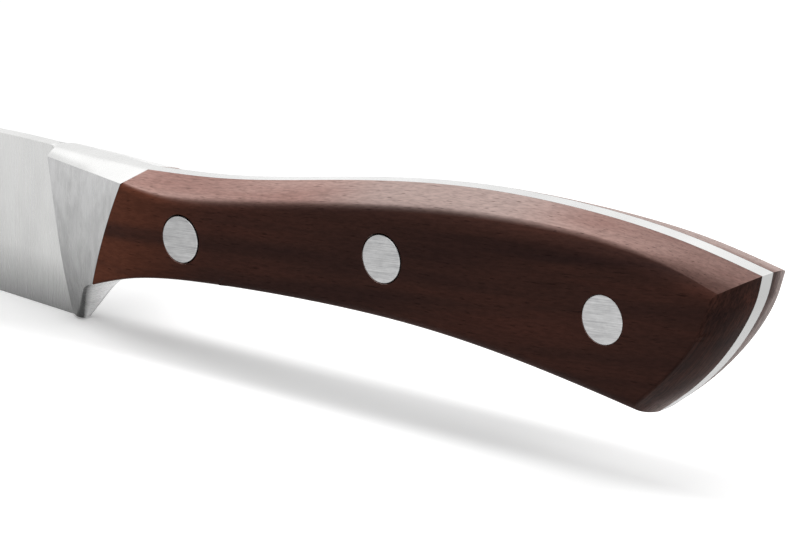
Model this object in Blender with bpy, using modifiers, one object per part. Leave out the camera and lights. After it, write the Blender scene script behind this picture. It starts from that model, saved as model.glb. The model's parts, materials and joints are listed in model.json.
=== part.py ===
"""Forged fillet knife with a full bolster, a full tang and two riveted wooden scales.

The knife stands on its straight cutting edge with the spine up. X runs along the edge with the butt at
+X and the tip at -X, Y is the thickness, and Z = 0 is the line of the edge. The origin is the middle of
the bounding box at its bottom. Outlines are drawn in millimetres as (distance from the butt, height).
"""
import bmesh
import bpy
import numpy as np
from mathutils import Vector

MM = 0.001
FIT_GAP = 0.3                 # clearance between pieces that touch
HANDLE_LENGTH = 131.9         # butt to the shoulder, to which the handle's drawn points are stretched
BLADE_LENGTH = 179.7          # shoulder to tip
TOTAL_LENGTH = HANDLE_LENGTH + BLADE_LENGTH

# Handle outline, shared by the tang and by the inner face of each scale.
TOP_CORNER = (0.0, 36.35)
BOTTOM_CORNER = (15.2, 13.4)
CROWN_LINE = [(111.2, 26.7), (97.0, 28.5), (74.0, 33.3), (50.0, 37.55), (31.0, 38.8), (12.0, 38.05),
              TOP_CORNER]
BUTT_LINE = [TOP_CORNER, (0.5, 33.3), (1.9, 29.5), (5.8, 22.9), (10.3, 17.7), BOTTOM_CORNER]
BELLY_LINE = [BOTTOM_CORNER, (30.0, 14.9), (52.0, 16.0), (75.0, 14.9), (95.0, 12.8), (110.0, 10.2),
              (117.75, 7.8)]

# Outline of a scale's flat side, inside the facets that run round it.
SIDE_TOP_CORNER = (2.9, 34.3)
SIDE_BOTTOM_CORNER = (14.9, 15.7)
SIDE_CROWN_LINE = [(112.2, 25.3), (105.7, 24.9), (96.0, 26.1), (76.0, 30.1), (51.0, 34.4), (30.0, 36.2),
                   (15.0, 36.0), SIDE_TOP_CORNER]
SIDE_BUTT_LINE = [SIDE_TOP_CORNER, (4.1, 29.9), (7.4, 24.0), SIDE_BOTTOM_CORNER]
SIDE_BELLY_LINE = [SIDE_BOTTOM_CORNER, (30.0, 17.0), (52.0, 17.7), (75.0, 16.4), (95.0, 14.1),
                   (110.0, 11.0), (117.8, 8.0)]

# Joint between the bolster and the scales: a shallow curve that leans back toward the top.
JOINT_TOP = (111.2, 26.7)
JOINT_MIDDLE = (115.0, 17.6)
JOINT_BOTTOM = (117.95, 7.0)

# Half thickness of the handle in plan. The scales' sides are flat up to the front rivet.
BUTT_HALF_WIDTH = 8.6
SIDE_TAPER = 0.0158           # loss of half width for each millimetre from the butt
FLAT_SIDE_LENGTH = 97.0
JOINT_HALF_WIDTH = 6.46
JOINT_TAPER = 0.13

TANG_THICKNESS = 2.5
RIDGE_ROUNDING = 1.3          # widest rounding of the ridge round a scale's flat side, at the butt
RIDGE_AT_JOINT = 0.25         # share of that rounding at the bolster
FACET_BULGE = 0.12            # how far the facets swell, as a share of their width

# Blade. The shoulder, where the bolster runs into the spine, is drawn like the handle's points.
# The spine's points are (share of the blade's length, height).
SHOULDER = (131.9, 26.2)
HANDLE_STRETCH = HANDLE_LENGTH / SHOULDER[0]
SPINE_LINE = [(0.0, SHOULDER[1]), (0.03, 26.02), (0.06, 25.72), (0.245, 23.2), (0.501, 19.2),
              (0.724, 16.5), (0.891, 15.3), (1.0, 15.6)]
HEEL_SETBACK = 4.2            # how far the blade's heel lies behind the shoulder
STRAIGHT_EDGE = 0.55          # share of the edge that stays straight
EDGE_SWEEP = 2.05             # how sharply the edge turns up to the tip
SPINE_HALF_THICKNESS = 1.15
TIP_HALF_THICKNESS = 0.4
EDGE_HALF_THICKNESS = 0.12
EDGE_BEVEL_HEIGHT = 0.6
EDGE_BEVEL_SHARE = 0.2        # most of the blade's height that the bevel may take near the tip
SPINE_CHAMFER = 0.06
TIP_HEIGHT = 0.5
BLADE_STATIONS = 34
TIP_CROWDING = 1.25           # how much closer together the stations lie toward the tip

# Bolster: the guard below the joint, where its rounding meets its sides and along its middle,
# then the front corner line. Points are (distance from the butt, height, half width).
GUARD_TOP = 8.0
GUARD_EDGE = [(119.9, 7.3, 4.95), (121.8, 5.5, 3.7), (123.1, 3.2, 2.65), (124.9, 0.5, 1.5)]
GUARD_CENTRE = [(118.1, 7.55), (119.9, 6.4), (121.2, 4.9), (122.3, 3.0), (123.9, 0.15)]
GUARD_SQUARENESS = 2.15       # power of the guard's rounded section, where 2 is an ellipse
GUARD_COLUMNS = 5
GUARD_SHARE = 0.34            # share of the bolster's front corner line that belongs to the guard
BOLSTER_CROWN_FRONT = (130.0, 26.3)
BOLSTER_FRONT = [(129.3, 25.35, 4.2), (127.4, 16.5, 4.15), (126.6, 9.5, 3.25), (126.4, 0.5, 0.7)]
BOLSTER_FRONT_HEEL = (126.7, 0.0)
BOLSTER_STATIONS = 7
SHOULDER_STATIONS = 8
JOINT_LEVELS = 10
GUARD_LEVELS = 12
TANG_ROOT = 1.5               # how far the tang runs on inside the bolster

# Cutler's rivets.
RIVETS = {"front": (99.1, 19.7), "middle": (60.3, 25.9), "rear": (20.7, 26.7)}
HEAD_RADIUS = 3.5
HEAD_DEPTH = 2.4
HEAD_EDGE = 0.15
SOCKET_RADIUS = 2.3
PIN_RADIUS = 1.2
RIVET_SIDES = 40
BORE_SIDES = 40
HOLE_RUNOUT = 1.0             # how far a hole's cutter stands out of the wood

# Points along the outlines.
CROWN_STEPS = 34
BUTT_STEPS = 14
BELLY_STEPS = 34
JOINT_STEPS = 7
GUIDE_POINTS = 120            # points of a guide line before it is shared out
JOINT_SLICES = 8              # cuts across a scale where its sides bend in to the bolster


def clear_scene() -> None:
    """Remove every object, so that the file starts empty."""
    for item in list(bpy.data.objects):
        bpy.data.objects.remove(item, do_unlink=True)


def new_collection(name: str) -> bpy.types.Collection:
    """Make a collection in the scene."""
    collection = bpy.data.collections.new(name)
    bpy.context.scene.collection.children.link(collection)
    return collection


def new_material(name: str, colour: tuple, roughness: float, metallic: float) -> bpy.types.Material:
    """Make a Principled material."""
    material = bpy.data.materials.new(name)
    material.use_nodes = True
    shader = material.node_tree.nodes["Principled BSDF"]
    shader.inputs["Base Color"].default_value = (*colour, 1.0)
    shader.inputs["Roughness"].default_value = roughness
    shader.inputs["Metallic"].default_value = metallic
    material.diffuse_color = (*colour, 1.0)
    return material


def place(from_butt: float, height: float, across: float = 0.0) -> Vector:
    """Turn drawing millimetres into a point of the knife's frame, stretching the handle to its length."""
    past_shoulder = max(0.0, from_butt - SHOULDER[0])
    distance = (from_butt - past_shoulder) * HANDLE_STRETCH + past_shoulder
    return Vector((TOTAL_LENGTH / 2 - distance, across, height)) * MM


def drawn_distance(x: float) -> float:
    """Distance from the butt, as drawn, of a place on the handle."""
    return (TOTAL_LENGTH / 2 - x / MM) / HANDLE_STRETCH


def smooth_line(points: list, count: int) -> list:
    """Return count points evenly along a natural cubic spline through the given points."""
    fixed = np.array(points, float)
    chord = np.r_[0.0, np.cumsum(np.linalg.norm(np.diff(fixed, axis=0), axis=1))]
    step = np.diff(chord)
    size = len(fixed)
    system = np.eye(size)
    right = np.zeros_like(fixed)
    for i in range(1, size - 1):
        system[i, i - 1:i + 2] = step[i - 1], 2 * (step[i - 1] + step[i]), step[i]
        right[i] = 6 * ((fixed[i + 1] - fixed[i]) / step[i] - (fixed[i] - fixed[i - 1]) / step[i - 1])
    bend = np.linalg.solve(system, right)

    def spline(distance: np.ndarray) -> np.ndarray:
        """Points of the spline at distances along its chords."""
        span = np.clip(np.searchsorted(chord, distance) - 1, 0, size - 2)
        after = (distance - chord[span])[:, None]
        before = (chord[span + 1] - distance)[:, None]
        length = step[span][:, None]
        cubic = (bend[span] * before ** 3 + bend[span + 1] * after ** 3) / (6 * length)
        start = (fixed[span] / length - bend[span] * length / 6) * before
        end = (fixed[span + 1] / length - bend[span + 1] * length / 6) * after
        return cubic + start + end

    fine = spline(np.linspace(0.0, chord[-1], 40 * size))
    travelled = np.r_[0.0, np.cumsum(np.linalg.norm(np.diff(fine, axis=0), axis=1))]
    wanted = np.linspace(0.0, travelled[-1], count)
    return [tuple(np.interp(wanted, travelled, fine[:, axis])[i] for axis in range(fixed.shape[1]))
            for i in range(count)]


def joint_at(height: float) -> float:
    """Distance from the butt to the bolster joint at a height: a parabola through three points."""
    marks = (JOINT_TOP, JOINT_MIDDLE, JOINT_BOTTOM)
    return sum(marks[i][0] * (height - marks[j][1]) * (height - marks[k][1])
               / ((marks[i][1] - marks[j][1]) * (marks[i][1] - marks[k][1]))
               for i, j, k in ((0, 1, 2), (1, 0, 2), (2, 0, 1)))


def half_width(from_butt: float) -> float:
    """Half thickness of the handle in plan: flat, then bending in to meet the bolster."""
    flat = BUTT_HALF_WIDTH - SIDE_TAPER * min(from_butt, FLAT_SIDE_LENGTH)
    if from_butt <= FLAT_SIDE_LENGTH:
        return flat
    joint = SIDE_CROWN_LINE[0][0]
    if from_butt >= joint:
        return JOINT_HALF_WIDTH - JOINT_TAPER * (from_butt - joint)
    span = joint - FLAT_SIDE_LENGTH
    t = (from_butt - FLAT_SIDE_LENGTH) / span
    ease_in = 2 * t ** 3 - 3 * t ** 2 + 1
    ease_out = 3 * t ** 2 - 2 * t ** 3
    leave = t ** 3 - 2 * t ** 2 + t
    arrive = t ** 3 - t ** 2
    return (ease_in * flat + ease_out * JOINT_HALF_WIDTH
            - span * (leave * SIDE_TAPER + arrive * JOINT_TAPER))


def mesh_object(name: str, mesh, collection, material=None):
    """Put a mesh in a collection as an object with one material."""
    item = bpy.data.objects.new(name, mesh)
    collection.objects.link(item)
    if material is not None:
        item.data.materials.append(material)
    return item


def mesh_from(name: str, build: bmesh.types.BMesh) -> bpy.types.Mesh:
    """Write a bmesh to a mesh and free it."""
    bmesh.ops.recalc_face_normals(build, faces=build.faces)
    mesh = bpy.data.meshes.new(name)
    build.to_mesh(mesh)
    build.free()
    return mesh


def cut(item, cutter, operation: str = "DIFFERENCE") -> None:
    """Add an exact Boolean modifier."""
    boolean = item.modifiers.new(cutter.name, "BOOLEAN")
    boolean.operation = operation
    boolean.solver = "EXACT"
    boolean.object = cutter


def make_cutter(item) -> None:
    """Mark an object as a guide that isn't part of the knife."""
    item.hide_render = True
    item.display_type = "WIRE"


def turned(name: str, profile: list, centre: tuple, sides: int, collection, material=None):
    """Turn a profile of (radius, place across the knife) about a rivet's axis."""
    build = bmesh.new()
    points = [build.verts.new((radius * MM, 0.0, -across * MM)) for radius, across in profile]
    for a, b in zip(points, points[1:]):
        build.edges.new((a, b))
    mesh = bpy.data.meshes.new(name)
    build.to_mesh(mesh)
    build.free()
    item = mesh_object(name, mesh, collection, material)
    screw = item.modifiers.new("turn", "SCREW")
    screw.steps = sides
    screw.render_steps = sides
    screw.use_merge_vertices = True
    screw.merge_threshold = 0.00001
    screw.use_smooth_shade = False
    item.location = place(*centre)
    item.rotation_euler = (np.pi / 2, 0.0, 0.0)
    return item


def guard_shares() -> np.ndarray:
    """Shares of the guard's height at its levels, closer together at both ends."""
    return (1 - np.cos(np.pi * np.arange(1, GUARD_LEVELS + 1) / GUARD_LEVELS)) / 2


def rear_corner_line() -> tuple[list, list]:
    """Corner line of the bolster's rear face, and the middle line of that face, from top to heel."""
    top, bottom = SIDE_CROWN_LINE[0][1], GUARD_TOP
    corner, middle = [], []
    for i in range(JOINT_LEVELS):
        height = top + (bottom - top) * i / (JOINT_LEVELS - 1)
        distance = joint_at(height)
        corner.append((distance, height, half_width(distance)))
        middle.append((distance, height))
    corner += along(smooth_line([corner[-1], *GUARD_EDGE], GUIDE_POINTS), guard_shares())
    middle += along(smooth_line(GUARD_CENTRE, GUIDE_POINTS), guard_shares())
    return corner, middle


def rear_columns(corner: tuple, middle: tuple) -> list:
    """Points from the middle of the rear face to just before its corner, along a rounded section."""
    points = []
    for column in range(GUARD_COLUMNS):
        angle = np.pi / 2 * column / GUARD_COLUMNS
        across = corner[2] * np.sin(angle) ** (2 / GUARD_SQUARENESS)
        share = 1 - np.cos(angle) ** (2 / GUARD_SQUARENESS)
        points.append((*(np.array(middle) * (1 - share) + np.array(corner[:2]) * share), across))
    return points


def along(line: list, fractions: list) -> list:
    """Points of a line at the given fractions of its length."""
    spots = np.array(line, float)
    travelled = np.r_[0.0, np.cumsum(np.linalg.norm(np.diff(spots, axis=0), axis=1))]
    wanted = np.array(fractions) * travelled[-1]
    return [tuple(np.interp(w, travelled, spots[:, axis]) for axis in range(spots.shape[1]))
            for w in wanted]


def blade_section(t: float, levels: list) -> list:
    """Half section of the blade, from the spine to the edge, at a fraction of its length."""
    share, spine_height = along(smooth_line(SPINE_LINE, GUIDE_POINTS), [t])[0]
    spine_from_butt = SHOULDER[0] + share * BLADE_LENGTH
    edge_from_butt = SHOULDER[0] - HEEL_SETBACK + t * (BLADE_LENGTH + HEEL_SETBACK)
    past = max(0.0, t - STRAIGHT_EDGE) / (1 - STRAIGHT_EDGE)
    edge = (SPINE_LINE[-1][1] - TIP_HEIGHT) * past ** EDGE_SWEEP
    thick = SPINE_HALF_THICKNESS + (TIP_HALF_THICKNESS - SPINE_HALF_THICKNESS) * t
    bevel = min(EDGE_BEVEL_HEIGHT, EDGE_BEVEL_SHARE * (spine_height - edge))
    section = [(spine_from_butt, spine_height, 0.0), (spine_from_butt, spine_height, thick - SPINE_CHAMFER)]
    for level in levels:
        height = (spine_height - SPINE_CHAMFER) * (1 - level) + (edge + bevel) * level
        distance = spine_from_butt * (1 - level) + edge_from_butt * level
        section.append((distance, height, thick * (1 - level) + EDGE_HALF_THICKNESS * level))
    section.append((edge_from_butt, edge, 0.0))
    return section


def forging_sections() -> tuple[list, list]:
    """Half sections from the joint face to the tip, and the rows of points across the joint face."""
    corner, middle = rear_corner_line()
    rows = [rear_columns(*pair) for pair in zip(corner[:-1], middle[:-1])]
    upper = np.linspace(0.0, 1 - GUARD_SHARE, JOINT_LEVELS)
    levels = [*upper, *(1 - GUARD_SHARE * (1 - guard_shares()))]
    front = along(smooth_line(BOLSTER_FRONT, GUIDE_POINTS), levels)
    blade = blade_section(0.0, levels)

    tang = TANG_THICKNESS / 2
    rear_ring = [(*JOINT_TOP, 0.0), (*JOINT_TOP, tang)] + corner + [(*middle[-1], 0.0)]
    crown = BOLSTER_CROWN_FRONT
    front_ring = [(*crown, 0.0), (*crown, tang)] + front + [(*BOLSTER_FRONT_HEEL, 0.0)]

    rings = []
    for t in np.arange(BOLSTER_STATIONS) / BOLSTER_STATIONS:
        rings.append([tuple(np.array(a) * (1 - t) + np.array(b) * t) for a, b in zip(rear_ring, front_ring)])
    for t in np.arange(SHOULDER_STATIONS) / SHOULDER_STATIONS:
        hollow = 1 - np.sqrt(1 - (1 - t) ** 2)
        shares = np.array([1 - t, hollow, hollow])
        rings.append([tuple(np.array(a) * shares + np.array(b) * (1 - shares))
                      for a, b in zip(front_ring, blade)])
    rings += [blade_section(1 - (1 - i / BLADE_STATIONS) ** TIP_CROWDING, levels)
              for i in range(BLADE_STATIONS + 1)]
    return rings, rows


def make_blade_forging(collection, cutters, material):
    """Loft the blade and bolster, then join the tang and drill it for the rivets."""
    rings, rows = forging_sections()
    build = bmesh.new()
    grid = [[build.verts.new(place(*point)) for point in ring] for ring in rings]
    for ring, following in zip(grid, grid[1:]):
        for i in range(len(ring) - 1):
            build.faces.new((ring[i], ring[i + 1], following[i + 1], following[i]))
    rear = grid[0]
    face = [[build.verts.new(place(*point)) for point in row] + [rear[i + 2]] for i, row in enumerate(rows)]
    build.faces.new((rear[0], rear[1], *reversed(face[0])))
    for row, following in zip(face, face[1:]):
        for i in range(GUARD_COLUMNS):
            build.faces.new((row[i], row[i + 1], following[i + 1], following[i]))
    build.faces.new((*face[-1], rear[-2], rear[-1]))
    build.faces.new(grid[-1])
    item = mesh_object("blade_forging", mesh_from("blade_forging", build), collection, material)
    mirror = item.modifiers.new("other side", "MIRROR")
    mirror.use_axis = (False, True, False)
    mirror.merge_threshold = 0.00001

    tang = make_tang(cutters)
    cut(item, tang, "UNION")
    for name, centre_point in RIVETS.items():
        radius = SOCKET_RADIUS + FIT_GAP
        depth = TANG_THICKNESS
        profile = [(0.0, -depth), (radius, -depth), (radius, depth), (0.0, depth)]
        bore = turned("tang_bore_" + name, profile, centre_point, BORE_SIDES, cutters)
        make_cutter(bore)
        cut(item, bore)
    return item


def make_tang(cutters):
    """Flat tang from its outline, with its front end buried in the bolster."""
    root = [(joint_at(BELLY_LINE[-1][1]) + TANG_ROOT, BELLY_LINE[-1][1] + FIT_GAP),
            (joint_at(SIDE_CROWN_LINE[0][1]) + TANG_ROOT, SIDE_CROWN_LINE[0][1])]
    outline = smooth_line(CROWN_LINE, CROWN_STEPS) + smooth_line(BUTT_LINE, BUTT_STEPS)[1:-1]
    outline += smooth_line(BELLY_LINE, BELLY_STEPS) + root
    curve = bpy.data.curves.new("tang_outline", "CURVE")
    curve.dimensions = "2D"
    curve.fill_mode = "BOTH"
    curve.extrude = TANG_THICKNESS / 2 * MM
    spline = curve.splines.new("POLY")
    spline.points.add(len(outline) - 1)
    for point, (from_butt, height) in zip(spline.points, outline):
        spot = place(from_butt, height)
        point.co = (spot.x, spot.z, 0.0, 1.0)
    spline.use_cyclic_u = True
    drawn = bpy.data.objects.new("tang_outline", curve)
    drawn.rotation_euler = (np.pi / 2, 0.0, 0.0)
    cutters.objects.link(drawn)
    bpy.context.view_layer.update()
    evaluated = drawn.evaluated_get(bpy.context.evaluated_depsgraph_get())
    mesh = bpy.data.meshes.new_from_object(evaluated)
    build = bmesh.new()
    build.from_mesh(mesh)
    bmesh.ops.remove_doubles(build, verts=build.verts, dist=0.00001)
    build.to_mesh(mesh)
    build.free()
    tang = mesh_object("tang", mesh, cutters)
    tang.matrix_world = drawn.matrix_world.copy()
    bpy.data.objects.remove(drawn, do_unlink=True)
    make_cutter(tang)
    return tang


def scale_rings() -> tuple[list, list]:
    """Matching closed outlines of a scale's inner face and of its flat side."""
    def joint_run(low: float, high: float) -> list:
        """Points up the joint between two heights, without its ends."""
        heights = np.linspace(low, high, JOINT_STEPS + 2)[1:-1]
        return [(joint_at(height) - FIT_GAP, height) for height in heights]

    def ring(crown: list, butt: list, belly: list) -> list:
        """Closed outline from the bolster along the crown, round the butt and back along the belly."""
        run = smooth_line(crown, CROWN_STEPS)
        run[0] = (joint_at(crown[0][1]) - FIT_GAP, crown[0][1])
        run += smooth_line(butt, BUTT_STEPS)[1:-1] + smooth_line(belly, BELLY_STEPS)
        run[-1] = (joint_at(belly[-1][1]) - FIT_GAP, belly[-1][1])
        return run + joint_run(belly[-1][1], crown[0][1])

    return (ring(CROWN_LINE, BUTT_LINE, BELLY_LINE),
            ring(SIDE_CROWN_LINE, SIDE_BUTT_LINE, SIDE_BELLY_LINE))


def facet_point(inner: tuple, outer: tuple) -> tuple:
    """Point of a facet's middle ring, a little outside the straight line between the outlines."""
    share = 1 / 2 + FACET_BULGE * (1 - outer[0] / JOINT_BOTTOM[0])
    return tuple(b + (a - b) * share for a, b in zip(inner, outer))


def make_scale(name: str, side: int, collection, cutters, material):
    """One scale: facets between two outlines, sides tapered in plan, ridge softened, rivet holes cut."""
    inner_face = TANG_THICKNESS / 2 + FIT_GAP
    inner, outer = scale_rings()
    swelling = [facet_point(a, b) for a, b in zip(inner, outer)]
    build = bmesh.new()
    layer = build.edges.layers.float.new("bevel_weight_edge")
    depths = (inner_face, (inner_face + BUTT_HALF_WIDTH) / 2, BUTT_HALF_WIDTH)
    rings = [[build.verts.new(place(*point, depth)) for point in ring]
             for ring, depth in zip((inner, swelling, outer), depths)]
    for ring, following in zip(rings, rings[1:]):
        for i in range(len(ring)):
            j = (i + 1) % len(ring)
            build.faces.new((ring[i], ring[j], following[j], following[i]))
    build.faces.new(rings[0])
    build.faces.new(rings[-1])

    ridge = rings[-1][:-JOINT_STEPS]
    for a, b in zip(ridge, ridge[1:]):
        edge = build.edges.get((a, b))
        edge[layer] = 1 - (1 - RIDGE_AT_JOINT) * drawn_distance(a.co.x) / JOINT_BOTTOM[0]
    for from_butt in np.linspace(FLAT_SIDE_LENGTH, JOINT_MIDDLE[0] + TANG_ROOT, JOINT_SLICES):
        spot = place(from_butt, 0.0)
        everything = build.verts[:] + build.edges[:] + build.faces[:]
        bmesh.ops.bisect_plane(build, geom=everything, dist=0.000001, plane_co=spot, plane_no=(1, 0, 0))
    for vert in build.verts:
        depth = (vert.co.y / MM - inner_face) / (BUTT_HALF_WIDTH - inner_face)
        vert.co.y = (inner_face + depth * (half_width(drawn_distance(vert.co.x)) - inner_face)) * MM * side
    item = mesh_object(name, mesh_from(name, build), collection, material)
    bevel = item.modifiers.new("soft ridge", "BEVEL")
    bevel.limit_method = "WEIGHT"
    bevel.width = RIDGE_ROUNDING * MM
    bevel.segments = 3
    bevel.use_clamp_overlap = False

    for rivet, centre in RIVETS.items():
        face = half_width(centre[0])
        floor = face - HEAD_DEPTH - FIT_GAP
        narrow, wide = SOCKET_RADIUS + FIT_GAP, HEAD_RADIUS + FIT_GAP
        mouth = face + HOLE_RUNOUT
        profile = [(0.0, 0.0), (narrow, 0.0), (narrow, floor), (wide, floor), (wide, mouth), (0.0, mouth)]
        profile = [(radius, across * side) for radius, across in profile]
        if side < 0:
            profile.reverse()
        hole = turned("hole_" + rivet + "_" + name, profile, centre, BORE_SIDES, cutters)
        make_cutter(hole)
        cut(item, hole)
    return item


def make_rivet(name: str, centre: tuple, collection, material) -> None:
    """A two-part rivet: the socket's head is on the left and the pin's head is on the right."""
    face = half_width(centre[0])
    under = face - HEAD_DEPTH
    bore = PIN_RADIUS + FIT_GAP
    rim = HEAD_RADIUS - HEAD_EDGE
    socket = [(0.0, -face), (rim, -face), (HEAD_RADIUS, -face + HEAD_EDGE), (HEAD_RADIUS, -under),
              (SOCKET_RADIUS, -under), (SOCKET_RADIUS, under - FIT_GAP), (bore, under - FIT_GAP),
              (bore, -under), (0.0, -under)]
    turned("rivet_" + name + "_socket", socket, centre, RIVET_SIDES, collection, material)
    pin = [(0.0, -under + FIT_GAP), (PIN_RADIUS, -under + FIT_GAP), (PIN_RADIUS, under),
           (HEAD_RADIUS, under), (HEAD_RADIUS, face - HEAD_EDGE), (rim, face), (0.0, face)]
    turned("rivet_" + name + "_pin", pin, centre, RIVET_SIDES, collection, material)


def main() -> None:
    """Build the knife."""
    clear_scene()
    knife = new_collection("fillet_knife")
    cutters = new_collection("cutters")
    steel = new_material("satin_steel", (0.62, 0.62, 0.62), 0.32, 1.0)
    rivet_steel = new_material("rivet_steel", (0.55, 0.55, 0.56), 0.38, 1.0)
    wood = new_material("dark_wood", (0.045, 0.019, 0.014), 0.5, 0.0)
    make_blade_forging(knife, cutters, steel)
    make_scale("scale_left", -1, knife, cutters, wood)
    make_scale("scale_right", 1, knife, cutters, wood)
    for name, centre in RIVETS.items():
        make_rivet(name, centre, knife, rivet_steel)


main()
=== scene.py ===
"""Forged fillet knife with faceted rosewood scales, dressed for a studio picture round its CAD frame.

X runs along the blade with the butt at +X, Y is the thickness and Z = 0 is the line of the edge.
Drawn points are in millimetres, as (distance from the butt, height, distance across from the middle).
"""
import json
import logging
import math
from collections.abc import Callable
from dataclasses import dataclass, field
from enum import Enum

import bmesh
import bpy
import numpy as np
from mathutils import Matrix, Vector

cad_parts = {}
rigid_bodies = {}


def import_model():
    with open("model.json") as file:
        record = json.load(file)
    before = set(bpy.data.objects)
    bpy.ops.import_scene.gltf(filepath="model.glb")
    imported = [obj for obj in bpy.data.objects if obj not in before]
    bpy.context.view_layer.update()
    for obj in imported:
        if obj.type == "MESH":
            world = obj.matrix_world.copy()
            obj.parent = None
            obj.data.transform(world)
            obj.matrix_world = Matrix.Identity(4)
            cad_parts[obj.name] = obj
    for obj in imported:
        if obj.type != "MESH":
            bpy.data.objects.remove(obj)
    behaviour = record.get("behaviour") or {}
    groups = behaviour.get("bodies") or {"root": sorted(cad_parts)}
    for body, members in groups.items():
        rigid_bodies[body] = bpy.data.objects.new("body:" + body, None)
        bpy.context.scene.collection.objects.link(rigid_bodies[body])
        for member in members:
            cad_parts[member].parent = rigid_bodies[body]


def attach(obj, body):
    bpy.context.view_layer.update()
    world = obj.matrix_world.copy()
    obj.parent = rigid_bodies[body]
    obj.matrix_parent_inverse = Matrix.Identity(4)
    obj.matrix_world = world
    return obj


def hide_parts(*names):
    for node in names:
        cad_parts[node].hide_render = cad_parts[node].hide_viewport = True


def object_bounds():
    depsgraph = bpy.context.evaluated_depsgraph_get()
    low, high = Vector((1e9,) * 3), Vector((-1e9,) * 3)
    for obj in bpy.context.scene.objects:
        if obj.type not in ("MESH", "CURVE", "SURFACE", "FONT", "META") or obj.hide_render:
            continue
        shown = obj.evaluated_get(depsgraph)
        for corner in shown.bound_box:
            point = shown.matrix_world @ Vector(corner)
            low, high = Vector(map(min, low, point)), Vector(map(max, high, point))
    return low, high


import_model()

LOG = logging.getLogger("fillet_knife")
MM = 0.001
BODY = "root"
CAD_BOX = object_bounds()
BUTT_X = CAD_BOX[1].x
MERGE = 0.002 * MM
SHADE_ANGLE = math.radians(32.0)
FLAT_FACES = 60               # how strongly a large face sets the normals at its corners
EDGE_WEIGHTS = "bevel_weight_edge"
SPLINE_STEPS = 60             # of a curve for each point that it passes through
CURVE_POINTS = 160            # of a short curve before it is shared out
RIVETS = {"front": (99.1, 19.7), "middle": (60.3, 25.9), "rear": (20.7, 26.7)}

Point = tuple[float, ...]
Points = tuple[Point, ...]
Line = list[Point]
Materials = tuple[bpy.types.Material, ...]


class Side(Enum):
    """Side of the knife, by the sign of Y."""

    LEFT = -1
    RIGHT = 1


def place(point: Point) -> Vector:
    """Turn a drawn point into a point of the knife's frame.

    Args:
        point: Distance from the butt, height and, where given, distance across.

    Returns:
        The point in metres.
    """
    across = point[2] if len(point) > 2 else 0.0
    return Vector((BUTT_X - point[0] * MM, across * MM, point[1] * MM))


def between(start: Point, end: Point, share: float) -> Point:
    """Return the point at a share of the way from start to end."""
    return tuple(a + (b - a) * share for a, b in zip(start, end))


def spread(line: Line, shares: list[float]) -> Line:
    """Return the points of a polyline at the given shares of its length."""
    spots = np.array(line, float)
    travelled = np.r_[0.0, np.cumsum(np.linalg.norm(np.diff(spots, axis=0), axis=1))]
    wanted = np.array(shares) * travelled[-1]
    return [tuple(float(np.interp(w, travelled, spots[:, axis])) for axis in range(spots.shape[1]))
            for w in wanted]


def smooth_line(points: Line, count: int) -> Line:
    """Draw a natural cubic spline through points.

    Args:
        points: The points that the line passes through.
        count: How many points to return, evenly spaced along it.

    Returns:
        The points of the line.
    """
    fixed = np.array(points, float)
    chord = np.r_[0.0, np.cumsum(np.linalg.norm(np.diff(fixed, axis=0), axis=1))]
    step = np.diff(chord)
    size = len(fixed)
    system = np.eye(size)
    right = np.zeros_like(fixed)
    for i in range(1, size - 1):
        system[i, i - 1:i + 2] = step[i - 1], 2 * (step[i - 1] + step[i]), step[i]
        right[i] = 6 * ((fixed[i + 1] - fixed[i]) / step[i] - (fixed[i] - fixed[i - 1]) / step[i - 1])
    bend = np.linalg.solve(system, right)
    distance = np.linspace(0.0, chord[-1], SPLINE_STEPS * size)
    span = np.clip(np.searchsorted(chord, distance) - 1, 0, size - 2)
    after = (distance - chord[span])[:, None]
    before = (chord[span + 1] - distance)[:, None]
    length = step[span][:, None]
    fine = (bend[span] * before ** 3 + bend[span + 1] * after ** 3) / (6 * length)
    fine += (fixed[span] / length - bend[span] * length / 6) * before
    fine += (fixed[span + 1] / length - bend[span + 1] * length / 6) * after
    return spread([tuple(row) for row in fine], list(np.linspace(0.0, 1.0, count)))


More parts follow.
